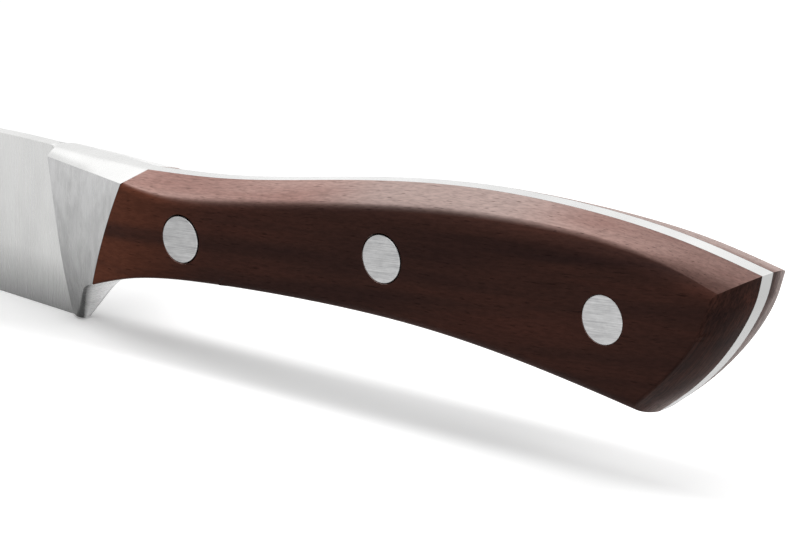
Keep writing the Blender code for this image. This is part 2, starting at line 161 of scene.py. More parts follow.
@dataclass(frozen=True)
class HandleDrawing:
    """Lines of the handle that the tang, the scales and the bolster share."""

    crown: Points = ((111.2, 26.7), (97.0, 28.5), (74.0, 33.3), (50.0, 37.55), (31.0, 38.8),
                     (12.0, 38.05), (0.0, 36.35))
    butt: Points = ((0.0, 36.35), (0.5, 33.3), (1.9, 29.5), (5.8, 22.9), (10.3, 17.7), (15.2, 13.4))
    belly: Points = ((15.2, 13.4), (30.0, 14.9), (52.0, 16.0), (75.0, 14.9), (95.0, 12.8),
                     (110.0, 10.2), (117.75, 7.8))
    side_crown: Points = ((112.2, 25.3), (105.7, 24.9), (96.0, 26.1), (76.0, 30.1), (51.0, 34.4),
                          (30.0, 36.2), (15.0, 36.0), (2.9, 34.3))
    side_butt: Points = ((2.9, 34.3), (4.1, 29.9), (7.4, 24.0), (14.9, 15.7))
    side_belly: Points = ((14.9, 15.7), (30.0, 17.0), (52.0, 17.7), (75.0, 16.4), (95.0, 14.1),
                          (110.0, 11.0), (117.8, 8.0))
    joint_marks: Points = ((111.2, 26.7), (115.0, 17.6), (117.95, 7.0))
    butt_half_width: float = 8.6
    side_taper: float = 0.0158
    flat_side_length: float = 97.0
    joint_half_width: float = 6.46
    joint_taper: float = 0.13
    tang_thickness: float = 2.5
    rise: float = math.radians(8.0)     # of the handle toward its butt, which its grain follows

    def joint_at(self, height: float) -> float:
        """Distance from the butt to the bolster joint at a height: a parabola through the marks."""
        marks = self.joint_marks
        return sum(marks[i][0] * (height - marks[j][1]) * (height - marks[k][1])
                   / ((marks[i][1] - marks[j][1]) * (marks[i][1] - marks[k][1]))
                   for i, j, k in ((0, 1, 2), (1, 0, 2), (2, 0, 1)))

    def half_width(self, from_butt: float) -> float:
        """Half thickness of the handle in plan: tapered, then bending in to meet the bolster."""
        flat = self.butt_half_width - self.side_taper * min(from_butt, self.flat_side_length)
        joint = self.side_crown[0][0]
        if from_butt <= self.flat_side_length:
            return flat
        if from_butt >= joint:
            return self.joint_half_width - self.joint_taper * (from_butt - joint)
        span = joint - self.flat_side_length
        t = (from_butt - self.flat_side_length) / span
        ease_in = 2 * t ** 3 - 3 * t ** 2 + 1
        leave = t ** 3 - 2 * t ** 2 + t
        arrive = t ** 3 - t ** 2
        return (ease_in * flat + (1 - ease_in) * self.joint_half_width
                - span * (leave * self.side_taper + arrive * self.joint_taper))


DRAWING = HandleDrawing()


# Modelling by hand: each helper is one small job in Blender's own operators.

def deselect_all() -> None:
    """Leave edit mode and deselect every object."""
    if bpy.context.object is not None and bpy.context.object.mode != "OBJECT":
        bpy.ops.object.mode_set(mode="OBJECT")
    bpy.ops.object.select_all(action="DESELECT")


def activate(item: bpy.types.Object) -> None:
    """Select one object alone and make it the active one."""
    deselect_all()
    item.select_set(True)
    bpy.context.view_layer.objects.active = item


def edit(item: bpy.types.Object) -> bmesh.types.BMesh:
    """Open an object alone in edit mode, with nothing in it selected.

    Args:
        item: The mesh object.

    Returns:
        Its edit mesh.
    """
    activate(item)
    bpy.ops.object.mode_set(mode="EDIT")
    bpy.ops.mesh.select_mode(type="VERT")
    bpy.ops.mesh.select_all(action="DESELECT")
    return bmesh.from_edit_mesh(item.data)


def section_layers(mesh: bmesh.types.BMesh) -> tuple[bmesh.types.BMLayerItem, bmesh.types.BMLayerItem]:
    """Return the layers of a swept mesh that hold its vertices' spots and stations."""
    return mesh.verts.layers.int["spot"], mesh.verts.layers.int["station"]


def sweep(name: str, sections: list[Line], closed: bool) -> bpy.types.Object:
    """Extrude a ring or a chain of points from section to section.

    Args:
        name: Name of the new object.
        sections: Matching sections, each a list of drawn points.
        closed: Whether a section is a ring, and not an open chain.

    Returns:
        The new object. Its vertices carry the whole-number attributes "spot", their place in the
        section, and "station", the section's number.
    """
    deselect_all()
    bpy.ops.mesh.primitive_circle_add(vertices=len(sections[0]), radius=MM, fill_type="NOTHING")
    item = bpy.context.object
    item.name = name
    item.data.name = name
    mesh = edit(item)
    spot = mesh.verts.layers.int.new("spot")
    station = mesh.verts.layers.int.new("station")
    for index, vert in enumerate(mesh.verts):
        vert[spot] = index
        vert.co = place(sections[0][index])
        vert.select = True
    if not closed:
        last = len(sections[0]) - 1
        for edge in [e for e in mesh.edges if {v[spot] for v in e.verts} == {0, last}]:
            mesh.edges.remove(edge)
    mesh.select_flush(True)
    bmesh.update_edit_mesh(item.data)
    for number, section in enumerate(sections[1:], 1):
        bpy.ops.mesh.extrude_region()
        mesh = bmesh.from_edit_mesh(item.data)
        spot, station = section_layers(mesh)
        for vert in mesh.verts:
            if vert.select:
                vert.co = place(section[vert[spot]])
                vert[station] = number
        bmesh.update_edit_mesh(item.data)
    deselect_all()
    return item


def merge_and_turn_out(item: bpy.types.Object) -> None:
    """Merge doubled vertices and point the faces outwards."""
    edit(item)
    bpy.ops.mesh.select_all(action="SELECT")
    bpy.ops.mesh.remove_doubles(threshold=MERGE)
    bpy.ops.mesh.normals_make_consistent(inside=False)
    deselect_all()


def bevel_weights(item: bpy.types.Object, weigh: Callable[[Point, Point], float]) -> None:
    """Give edges a bevel weight.

    Args:
        item: The mesh object.
        weigh: A function from the two ends of an edge to a weight from 0 to 1. Each end is its
            distance from the butt, height and distance across, its spot and its station.
    """
    mesh = edit(item)
    spot, station = section_layers(mesh)
    weight = mesh.edges.layers.float.new(EDGE_WEIGHTS)
    for edge in mesh.edges:
        ends = [((BUTT_X - v.co.x) / MM, v.co.z / MM, v.co.y / MM, v[spot], v[station]) for v in edge.verts]
        edge[weight] = weigh(*ends)
    bmesh.update_edit_mesh(item.data)
    deselect_all()


def apply(item: bpy.types.Object, kind: str, **settings: object) -> None:
    """Add a modifier with its settings and apply it."""
    activate(item)
    modifier = item.modifiers.new(kind.lower(), kind)
    for name, value in settings.items():
        setattr(modifier, name, value)
    bpy.ops.object.modifier_apply(modifier=modifier.name)
    deselect_all()


def soften(item: bpy.types.Object, width: float, segments: int, clamp: bool) -> None:
    """Round the weighted edges up to a width in millimetres, held back where they would meet or not."""
    apply(item, "BEVEL", limit_method="WEIGHT", width=width * MM, segments=segments,
          use_clamp_overlap=clamp)


def cut(item: bpy.types.Object, other: bpy.types.Object, operation: str = "DIFFERENCE") -> None:
    """Cut another object out of an item, or join it on, and remove the other."""
    apply(item, "BOOLEAN", operation=operation, solver="EXACT", object=other)
    bpy.data.objects.remove(other, do_unlink=True)


def shade(item: bpy.types.Object) -> None:
    """Shade smooth below an angle, let large flat faces set the normals, and drop the drawn marks."""
    activate(item)
    bpy.ops.object.shade_smooth_by_angle(angle=SHADE_ANGLE)
    apply(item, "WEIGHTED_NORMAL", keep_sharp=True, weight=FLAT_FACES)
    for name in ("spot", "station", EDGE_WEIGHTS):
        layer = item.data.attributes.get(name)
        if layer is not None:
            item.data.attributes.remove(layer)


def turned(name: str, profile: Line, centre: Point, sides: int) -> bpy.types.Object:
    """Turn a profile about a rivet's axis, which runs across the knife.

    Args:
        name: Name of the new object.
        profile: Points of (radius, distance across), from the axis round to the axis.
        centre: The rivet's place as (distance from the butt, height).
        sides: Number of sides.

    Returns:
        The new closed object.
    """
    turn = [2 * math.pi * i / sides for i in range(sides)]
    rings = [[(centre[0] + radius * math.cos(a), centre[1] + radius * math.sin(a), across) for a in turn]
             for radius, across in profile]
    item = sweep(name, rings, closed=True)
    merge_and_turn_out(item)
    return item


def finish_piece(item: bpy.types.Object, materials: Materials, slot: str, *nodes: str) -> None:
    """Give a piece its materials and its body, and hide the CAD nodes that it stands for."""
    for number, material in enumerate(materials):
        if number < len(item.data.materials):
            item.data.materials[number] = material
        else:
            item.data.materials.append(material)
    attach(item, BODY)
    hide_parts(*nodes)
    LOG.info("%s: %d faces", item.name, len(item.data.polygons))


# Finishes.

SMOOTH = {"interpolation_type": "SMOOTHSTEP"}
COLOURS = {"data_type": "RGBA"}


def metres(*sizes: float) -> tuple[float, ...]:
    """Turn millimetres to metres."""
    return tuple(size * MM for size in sizes)


def hex_colour(code: str) -> tuple[float, float, float, float]:
    """Turn an sRGB hex colour to linear red, green, blue and alpha."""
    channels = [int(code[i:i + 2], 16) / 255 for i in (1, 3, 5)]
    linear = [c / 12.92 if c <= 0.04045 else ((c + 0.055) / 1.055) ** 2.4 for c in channels]
    return (*linear, 1.0)


@dataclass(frozen=True)
class Grain:
    """A noise: its cells in millimetres along the pattern's axes, its octaves and how strong they are."""

    cells: Point
    detail: float
    roughness: float = 0.5


class Nodes:
    """A material's or the world's node tree, with one way to add a node."""

    def __init__(self, tree: bpy.types.NodeTree) -> None:
        """Empty the tree."""
        self.tree = tree
        tree.nodes.clear()

    def add(self, kind: str, *values: object, **named: object) -> bpy.types.Node:
        """Add a node with its settings and links.

        Args:
            kind: The node's type name without "ShaderNode".
            *values: Its first inputs in use, in their order: numbers, hex colours, sockets, or nodes
                that stand for their first output in use.
            **named: Its settings, in small letters, and further inputs, with "_" for a space. A
                ramp's stops are pairs of a position and a hex colour.

        Returns:
            The node.
        """
        node = self.tree.nodes.new("ShaderNode" + kind)
        stops = named.pop("stops", ())
        for name in [key for key in named if key.islower()]:
            setattr(node, name, named.pop(name))
        if stops:
            elements = node.color_ramp.elements
            while len(elements) < len(stops):
                elements.new(1.0)
            for element, (position, code) in zip(elements, stops):
                element.position = position
                element.color = hex_colour(code)
        wanted = list(zip([socket for socket in node.inputs if socket.enabled], values))
        wanted += [(node.inputs[name.replace("_", " ")], value) for name, value in named.items()]
        for socket, value in wanted:
            if isinstance(value, bpy.types.Node):
                value = next(output for output in value.outputs if output.enabled)
            if isinstance(value, bpy.types.NodeSocket):
                self.tree.links.new(value, socket)
            else:
                socket.default_value = hex_colour(value) if isinstance(value, str) else value
        return node

    def noise(self, where: object, grain: Grain) -> bpy.types.Node:
        """Add a noise over the given places."""
        spots = self.add("Mapping", where, Scale=tuple(1 / size for size in metres(*grain.cells)))
        return self.add("TexNoise", spots, 1.0, grain.detail, grain.roughness)


def new_material(name: str) -> tuple[bpy.types.Material, Nodes]:
    """Make a material and its empty node tree."""
    material = bpy.data.materials.new(name)
    material.use_nodes = True
    return material, Nodes(material.node_tree)


@dataclass(frozen=True)
class SatinSteel:
    """Martensitic stainless steel, forged and ground satin: soft wide highlights, faint grinding marks.

    Painted shade: its sides are painted paler toward the spine and darker toward the edge, where steel
    reflects the paper's shadow.
    A "turn" is the part of a face's normal along one axis, between which two tones blend.
    """

    name: str = "stainless_steel_satin_ground"
    # Painted shade: tones of the sides from the edge up, darkest at the edge.
    bottom: str = "#8E8E8E"
    middle: str = "#C4C4C3"
    top: str = "#CDCDCC"
    shaded_height: float = 27.0    # mm from the edge, over which the sides' painted shade is spread
    middle_at: float = 0.31       # share of that height
    top_at: float = 0.9
    # Painted highlight on faces turned up toward the lamps.
    crown: str = "#DEDEDD"
    crown_highlight_turn: tuple = (0.35, 0.6)
    spine: str = "#ACACAB"        # tone of the spine's painted highlight toward the tip, dimmer there
    spine_fade: tuple = (-20.0, 5.0)   # mm along X, from all of that tone to none
    rear: str = ""                # tone of the painted reflection where the steel faces back toward the handle, if another
    rear_reflection_turn: tuple = (0.1, 0.3)
    corner: str = "#565656"       # tone of the painted shade on the rounded corner round to that rear face
    corner_shade_turn: tuple = (0.1, 0.36)
    shade: str = "#3C3C3C"        # tone of the painted reflection blotches and of the butt end's painted shade
    butt_shade: float = 0.49
    butt_turn: tuple = (0.3, 0.6)
    butt_length: float = 20.0     # mm
    # Random darker blotches, painted in place of the satin steel's blotchy reflections.
    reflection_blotches: Grain = Grain((6.0, 16.67, 17.143), 5.0, 0.6)
    reflection_blotch_range: tuple = (0.42, 0.68)
    reflection_blotch_shade: float = 0.08
    marks: Grain = Grain((0.35, 16.67, 71.4), 3.0, 0.6)  # real ones are 0.05 mm, too fine to show
    mark_depth: float = 0.02      # mm
    mark_strength: float = 0.02
    roughness: tuple = (0.23, 0.32)

    def painted_side_shade(self, nodes: Nodes, height: bpy.types.NodeSocket) -> bpy.types.Node:
        """Return the sides' painted shade, from the dark edge up to the paler spine."""
        level = nodes.add("MapRange", height, 0.0, self.shaded_height * MM)
        return nodes.add("ValToRGB", level, stops=((0.0, self.bottom), (self.middle_at, self.middle),
                                                   (self.top_at, self.top)))

    def rounded_rear(self, nodes: Nodes, turn: bpy.types.NodeOutputs, tone: bpy.types.Node) -> bpy.types.Node:
        """Return the tone with the rear face's painted reflection and its rounded corners' painted shade laid
        over it.
        """
        sideways = nodes.add("Math", turn["Y"], operation="ABSOLUTE")
        flat, round_from = self.corner_shade_turn
        rounded = nodes.add("ValToRGB", sideways, stops=((flat, self.rear), (round_from, self.corner),
                                                         (1.0, self.corner)))
        behind = nodes.add("MapRange", turn["X"], *self.rear_reflection_turn)
        return nodes.add("Mix", behind, tone, rounded, **COLOURS)

    def build(self) -> bpy.types.Material:
        """Make the material."""
        material, nodes = new_material(self.name)
        coordinates = nodes.add("TexCoord").outputs
        spot = coordinates["Object"]
        turn = nodes.add("SeparateXYZ", coordinates["Normal"]).outputs
        along, _, height = nodes.add("SeparateXYZ", spot).outputs
        # Painted highlight on the faces turned up, dimmer on the spine toward the tip.
        upward = nodes.add("MapRange", turn["Z"], *self.crown_highlight_turn)
        to_handle = nodes.add("MapRange", along, *metres(*self.spine_fade))
        crown = nodes.add("Mix", to_handle, self.spine, self.crown, **COLOURS)
        tone = nodes.add("Mix", upward, self.painted_side_shade(nodes, height), crown, **COLOURS)
        if self.rear:
            tone = self.rounded_rear(nodes, turn, tone)
        grind = nodes.noise(spot, self.marks)
        reflection_blotches = nodes.noise(spot, self.reflection_blotches)
        reflection_blotch = nodes.add("MapRange", reflection_blotches, *self.reflection_blotch_range, 0.0, self.reflection_blotch_shade)
        # Painted shade on the tang's butt end, which faces back and down.
        backward = nodes.add("MapRange", turn["X"], *self.butt_turn, 0.0, self.butt_shade)
        near_butt = nodes.add("Math", along, BUTT_X - self.butt_length * MM, operation="GREATER_THAN")
        butt = nodes.add("Math", backward, near_butt, operation="MULTIPLY")
        darker = nodes.add("Math", reflection_blotch, butt, operation="MAXIMUM")
        colour = nodes.add("Mix", darker, tone, self.shade, **COLOURS)
        sheen = nodes.add("MapRange", grind, 0.0, 1.0, *self.roughness)
        bump = nodes.add("Bump", Strength=self.mark_strength, Distance=self.mark_depth * MM, Height=grind)
        shader = nodes.add("BsdfPrincipled", Base_Color=colour, Metallic=1.0, Roughness=sheen, Normal=bump)
        nodes.add("OutputMaterial", shader)
        return material


@dataclass(frozen=True)
class BrushedRivetSteel:
    """Stainless steel rivets, ground flush with the wood: streaks brushed along the handle."""

    light: str = "#BCBCBC"
    dark: str = "#808081"
    tone_range: tuple = (0.28, 0.7)
    marks: Grain = Grain((6.667, 10.0, 0.13), 4.0, 0.65)  # real ones are 0.04 mm across, too fine
    patches: Grain = Grain((1.5, 0.6, 0.6), 4.0, 0.65)
    patchiness: float = 0.3
    roughness: tuple = (0.28, 0.46)
    mark_depth: float = 0.02      # mm
    mark_strength: float = 0.12

    def build(self) -> bpy.types.Material:
        """Make the material."""
        material, nodes = new_material("stainless_steel_brushed_rivet")
        spot = nodes.add("TexCoord").outputs["Object"]
        lengthways = nodes.add("Mapping", spot, Rotation=(0.0, DRAWING.rise, 0.0))
        brush = nodes.noise(lengthways, self.marks)
        patch = nodes.noise(lengthways, self.patches)
        both = nodes.add("Mix", self.patchiness, brush, patch)
        tone = nodes.add("ValToRGB", both, stops=tuple(zip(self.tone_range, (self.dark, self.light))))
        sheen = nodes.add("MapRange", brush, 0.0, 1.0, *self.roughness)
        bump = nodes.add("Bump", Strength=self.mark_strength, Distance=self.mark_depth * MM, Height=brush)
        shader = nodes.add("BsdfPrincipled", Base_Color=tone, Metallic=1.0, Roughness=sheen, Normal=bump)
        nodes.add("OutputMaterial", shader)
        return material


@dataclass(frozen=True)
class OiledRosewood:
    """Rosewood, sawn along the grain, sanded and oiled: dark streaks, short open pores, a soft shine.

    Painted sheen: the facets along the top are painted paler and pinker where they face up or are seen at a
    low angle, in place of the lamps' reflection.
    Patterns lie along, through and across the wood's grain.
    """

    dark: str = "#362320"
    middle: str = "#452C26"
    light: str = "#54332B"
    streaks: Grain = Grain((71.4, 4.5, 4.5), 4.0)
    tones_at: tuple = (0.34, 0.52, 0.7)
    wander: Grain = Grain((55.56, 55.56, 55.56), 2.0)
    wander_by: float = 3.0        # mm
    front: str = "#7A4735"        # the redder wood by the bolster
    front_length: float = 26.0    # mm from the bolster
    front_share: float = 0.85
    front_range: tuple = (0.32, 0.46)      # of the streaks that turn red
    dark_streak: float = 18.8     # mm, height at the bolster of a dark streak in the redder wood
    dark_streak_fade: tuple = (0.4, 2.0)   # mm from its middle
    dark_streak_red: float = 0.15
    pore: str = "#1A0C0A"
    pores: Grain = Grain((2.2, 0.2, 0.2), 1.0)  # real ones are 0.1 mm wide, too fine to show
    pore_range: tuple = (0.64, 0.76)
    pore_share: float = 0.6
    pore_depth: float = 0.04      # mm
    pore_strength: float = 0.3
    fibres: Grain = Grain((1.591, 0.35, 0.35), 3.0, 0.6)
    fibre_shade: float = 0.88     # tone of the darkest fibres beside the middle one
    sanding: Grain = Grain((7.5, 0.3, 0.3), 3.0, 0.65)  # real marks are 0.1 mm, too fine to show
    sanding_shade: float = 0.68
    line_range: tuple = (0.38, 0.62)
    butt_lean: float = math.radians(56.0)  # of the sanding marks
    butt_turn: tuple = (0.3, 0.45)         # part of the normal along X, where the butt's facets begin
    # Painted sheen: the paler, pinker tone that stands in for the lamps' reflection in the facets.
    painted_sheen: str = "#B89087"
    painted_sheen_light: str = "#D0ADA4"
    painted_sheen_at: tuple = (0.36, 0.64)
    painted_highlight_grey: str = "#CDB5AE"
    painted_highlight_at: float = 50.0         # mm from the butt, where the painted highlight on the facets is greyest
    painted_highlight_fade: tuple = (8.4, 28.0)         # mm from there
    low_facing: tuple = (0.27, 0.42)       # how far a face is turned from the eye, where it pales
    low_most: float = 0.95
    grazing_facing: tuple = (0.66, 0.8)    # and where it pales whatever way it is turned
    upward_turn: tuple = (-0.15, 0.1)
    facet_turn: tuple = (0.45, 0.98)
    paleness: float = 0.9         # share of the painted sheen's tone
    paleness_at_butt: float = 0.42
    paleness_grazing: float = 0.78
    pale_from: float = 40.0       # mm from the butt, over which the painted sheen fades, as the lamps' light does
    roughness: float = 0.42
    pore_roughness: float = 0.7
    ior: float = 1.1              # the oil has soaked in and leaves hardly any gloss

    def tone(self, nodes: Nodes, lengthways: bpy.types.Node, along: bpy.types.NodeSocket,
             streak: bpy.types.Node) -> bpy.types.Node:
        """Return the streaky wood's tone, redder by the bolster but for one dark streak."""
        tone = nodes.add("ValToRGB", streak,
                         stops=tuple(zip(self.tones_at, (self.dark, self.middle, self.light))))
        joint = BUTT_X - DRAWING.joint_marks[1][0] * MM
        near = nodes.add("MapRange", along, joint, joint + self.front_length * MM, self.front_share, 0.0,
                         **SMOOTH)
        redness = nodes.add("MapRange", streak, *self.front_range)
        height = nodes.add("SeparateXYZ", lengthways).outputs["Z"]
        dark_height = self.dark_streak * MM * math.cos(DRAWING.rise) - joint * math.sin(DRAWING.rise)
        offset = nodes.add("Math", height, dark_height, operation="SUBTRACT")
        distance = nodes.add("Math", offset, operation="ABSOLUTE")
        clear = nodes.add("MapRange", distance, *metres(*self.dark_streak_fade), self.dark_streak_red, 1.0,
                          **SMOOTH)
        amount = near
        for factor in (redness, clear):
            amount = nodes.add("Math", amount, factor, operation="MULTIPLY")
        return nodes.add("Mix", amount, tone, self.front, **COLOURS)

    def lines(self, nodes: Nodes, lengthways: bpy.types.Node, spot: bpy.types.NodeSocket,
              turn: bpy.types.NodeOutputs) -> bpy.types.Node:
        """Return the shading by the fibres and, on the butt's facets, by the sanding marks."""
        fibre = nodes.noise(lengthways, self.fibres)
        along_butt = nodes.add("Mapping", spot, Rotation=(0.0, self.butt_lean, 0.0))
        sanding = nodes.noise(along_butt, self.sanding)
        at_butt = nodes.add("MapRange", turn["X"], *self.butt_turn)
        line = nodes.add("Mix", at_butt, fibre, sanding)
        darkest = nodes.add("MapRange", at_butt, 0.0, 1.0, self.fibre_shade, self.sanding_shade)
        palest = nodes.add("Math", 1.0, darkest, operation="DIVIDE")
        return nodes.add("MapRange", line, *self.line_range, darkest, palest)

    def painted_sheen_tone(self, nodes: Nodes, along: bpy.types.NodeSocket, streak: bpy.types.Node,
                  grazing: bpy.types.Node) -> bpy.types.Node:
        """Return the painted sheen's tone: pink, and greyer at the painted highlight and where it is seen
        edge on.
        """
        pink = nodes.add("ValToRGB", streak,
                         stops=tuple(zip(self.painted_sheen_at, (self.painted_sheen, self.painted_sheen_light))))
        offset = nodes.add("Math", along, BUTT_X - self.painted_highlight_at * MM, operation="SUBTRACT")
        away = nodes.add("Math", offset, operation="ABSOLUTE")
        painted_highlight = nodes.add("MapRange", away, *metres(*self.painted_highlight_fade), 1.0, 0.0, **SMOOTH)
        greyer = nodes.add("Math", painted_highlight, grazing, operation="MAXIMUM")
        return nodes.add("Mix", greyer, pink, self.painted_highlight_grey, **COLOURS)

    def painted_sheen_share(self, nodes: Nodes, along: bpy.types.NodeSocket, turn: bpy.types.NodeOutputs,
                   facing: bpy.types.NodeSocket, grazing: bpy.types.Node) -> bpy.types.Node:
        """Return how much of the painted sheen shows: on facets that face up or are seen edge on."""
        low = nodes.add("MapRange", facing, *self.low_facing, 0.0, self.low_most)
        upward = nodes.add("MapRange", turn["Z"], *self.upward_turn)
        lit = nodes.add("Math", upward, grazing, operation="MAXIMUM")
        sideways = nodes.add("Math", turn["Y"], operation="ABSOLUTE")
        facet = nodes.add("MapRange", sideways, *self.facet_turn, 1.0, 0.0)
        by_length = nodes.add("MapRange", along, BUTT_X - self.pale_from * MM, BUTT_X, self.paleness,
                              self.paleness_at_butt, **SMOOTH)
        glancing = nodes.add("Math", grazing, self.paleness_grazing, operation="MULTIPLY")
        share = nodes.add("Math", by_length, glancing, operation="MAXIMUM")
        for factor in (low, lit, facet):
            share = nodes.add("Math", share, factor, operation="MULTIPLY")
        return share

    def build(self) -> bpy.types.Material:
        """Make the material."""
        material, nodes = new_material("rosewood_oiled")
        coordinates = nodes.add("TexCoord").outputs
        spot = coordinates["Object"]
        turn = nodes.add("SeparateXYZ", coordinates["Normal"]).outputs
        wander = nodes.noise(spot, self.wander).outputs["Color"]
        swerve = nodes.add("VectorMath", wander, Scale=self.wander_by * MM, operation="SCALE")
        wavy = nodes.add("VectorMath", spot, swerve, operation="ADD")
        along = nodes.add("SeparateXYZ", wavy).outputs["X"]
        lengthways = nodes.add("Mapping", wavy, Rotation=(0.0, DRAWING.rise, 0.0))
        streak = nodes.noise(lengthways, self.streaks)
        facing = nodes.add("LayerWeight").outputs["Facing"]
        grazing = nodes.add("MapRange", facing, *self.grazing_facing)
        # Painted sheen laid over the wood's own tone.
        with_painted_sheen = nodes.add("Mix", self.painted_sheen_share(nodes, along, turn, facing, grazing),
                          self.tone(nodes, lengthways, along, streak),
                          self.painted_sheen_tone(nodes, along, streak, grazing), **COLOURS)
        lined = nodes.add("VectorMath", with_painted_sheen, Scale=self.lines(nodes, lengthways, spot, turn),
                          operation="SCALE")
        pores = nodes.noise(lengthways, self.pores)
        open_pore = nodes.add("MapRange", pores, *self.pore_range, 0.0, self.pore_share)
        colour = nodes.add("Mix", open_pore, lined, self.pore, **COLOURS)
        shine = nodes.add("MapRange", open_pore, 0.0, 1.0, self.roughness, self.pore_roughness)
        sunk = nodes.add("Math", open_pore, -1.0, operation="MULTIPLY")
        bump = nodes.add("Bump", Strength=self.pore_strength, Distance=self.pore_depth * MM, Height=sunk)
        shader = nodes.add("BsdfPrincipled", Base_Color=colour, Roughness=shine, IOR=self.ior, Normal=bump)
        nodes.add("OutputMaterial", shader)
        return material


# Sub-assemblies.

@dataclass
class Forging:
    """Blade, bolster, guard and tang: one piece of forged steel. Sizes in millimetres."""

    shoulder_at: float = 131.9
    blade_length: float = 179.7
    spine: Points = ((0.0, 26.2), (0.03, 26.02), (0.06, 25.72), (0.245, 23.2), (0.501, 19.2), (0.724, 16.5),
                     (0.891, 15.3), (1.0, 15.6))  # share of the blade's length, height
    heel_setback: float = 4.2
    straight_edge: float = 0.55
    edge_sweep: float = 2.05
    spine_half_thickness: float = 1.15
    tip_half_thickness: float = 0.4
    edge_half_thickness: float = 0.12
    edge_bevel_height: float = 0.6
    edge_bevel_share: float = 0.2
    spine_chamfer: float = 0.06
    tip_height: float = 0.5
    guard_top: float = 8.0
    guard_edge: Points = ((119.9, 7.3, 4.95), (121.8, 5.5, 3.7), (123.1, 3.2, 2.65), (124.9, 0.5, 1.5))
    guard_centre: Points = ((118.1, 7.55), (119.9, 6.4), (121.2, 4.9), (122.3, 3.0), (123.9, 0.15))
    guard_squareness: float = 2.15
    guard_share: float = 0.34
    crown_front: Point = (130.0, 26.3)
    crown_points: int = 7         # across half of the crown, between the tang's edge and the ridge
    crown_arched_by: float = 0.6  # share of the bolster's length where its crown has become round
    front: Points = ((129.3, 25.35, 4.2), (127.4, 16.5, 4.15), (126.6, 9.5, 3.25), (126.4, 0.5, 0.7))
    front_heel: Point = (126.7, 0.0)
    tang_root: float = 1.5        # how far the tang runs on inside the bolster
    root_lift: float = 0.3        # of its lower corner there, clear of the guard
    guard_columns: int = 10
    bolster_stations: int = 14
    shoulder_stations: int = 14
    blade_stations: int = 70
    tip_crowding: float = 1.25
    joint_levels: int = 20
    guard_levels: int = 20
    corner_rounding: float = 0.4  # of the bolster's front corners
    rear_rounding: float = 0.3    # share of it at the rear corners
    ridge_rounding: float = 0.6   # share of it at the crown's ridges
    rounding_segments: int = 4
    bore_radius: float = 2.6
    bore_sides: int = 48
    tang_steps: dict = field(default_factory=lambda: {"crown": 90, "butt": 30, "belly": 90})

    def guard_shares(self) -> np.ndarray:
        """Shares of the guard's height at its levels, closer together at both ends."""
        return (1 - np.cos(np.pi * np.arange(1, self.guard_levels + 1) / self.guard_levels)) / 2

    def rear_lines(self) -> tuple[Line, Line]:
        """Corner line of the bolster's rear face and that face's middle line, from top to heel."""
        corner, middle = [], []
        for height in np.linspace(DRAWING.side_crown[0][1], self.guard_top, self.joint_levels):
            distance = DRAWING.joint_at(height)
            corner.append((distance, height, DRAWING.half_width(distance)))
            middle.append((distance, height, 0.0))
        shares = list(self.guard_shares())
        corner += spread(smooth_line([corner[-1], *self.guard_edge], CURVE_POINTS), shares)
        centre = spread(smooth_line(list(self.guard_centre), CURVE_POINTS), shares)
        middle += [(*spot, 0.0) for spot in centre]
        return corner, middle

    def rear_section(self, column: int, corner: Line, middle: Line) -> Line:
        """Half ring of the rear face at a column, from its middle line out to its corner line."""
        angle = math.pi / 2 * column / self.guard_columns
        out = math.sin(angle) ** (2 / self.guard_squareness)
        share = 1 - math.cos(angle) ** (2 / self.guard_squareness)
        top = (*DRAWING.crown[0], DRAWING.tang_thickness / 2 * out)
        points = [(*DRAWING.crown[0], 0.0), top]
        for edge, centre in zip(corner, middle):
            points.append((*between(centre[:2], edge[:2], share), edge[2] * out))
        return points + [middle[-1]]

    def arched(self, half: Line, roundness: float) -> Line:
        """Put points between a half ring's tang edge and its ridge.

        Args:
            half: The half ring, which starts with the crown's middle, the tang's edge and the ridge.
            roundness: How far the crown has turned from a flat facet, 0, to an arch, 1.

        Returns:
            The half ring with the new points.
        """
        edge, ridge = half[1], half[2]
        swell = roundness * (edge[1] - ridge[1])
        points = []
        for share in np.linspace(0.0, 1.0, self.crown_points + 2)[1:-1]:
            distance, height, across = between(edge, ridge, share)
            points.append((distance, height + swell * share * (1 - share), across))
        return [*half[:2], *points, *half[2:]]

    def blade_section(self, t: float, levels: list[float]) -> Line:
        """Half ring of the blade, from the spine to the edge, at a share of its length."""
        share, spine_height = spread(smooth_line(list(self.spine), CURVE_POINTS), [t])[0]
        spine_at = self.shoulder_at + share * self.blade_length
        edge_at = self.shoulder_at - self.heel_setback + t * (self.blade_length + self.heel_setback)
        past = max(0.0, t - self.straight_edge) / (1 - self.straight_edge)
        edge = (self.spine[-1][1] - self.tip_height) * past ** self.edge_sweep
        thick = self.spine_half_thickness + (self.tip_half_thickness - self.spine_half_thickness) * t
        bevel = min(self.edge_bevel_height, self.edge_bevel_share * (spine_height - edge))
        section = [(spine_at, spine_height, 0.0), (spine_at, spine_height, thick - self.spine_chamfer)]
        for level in levels:
            height = (spine_height - self.spine_chamfer) * (1 - level) + (edge + bevel) * level
            distance = spine_at * (1 - level) + edge_at * level
            section.append((distance, height, thick * (1 - level) + self.edge_half_thickness * level))
        return section + [(edge_at, edge, 0.0)]

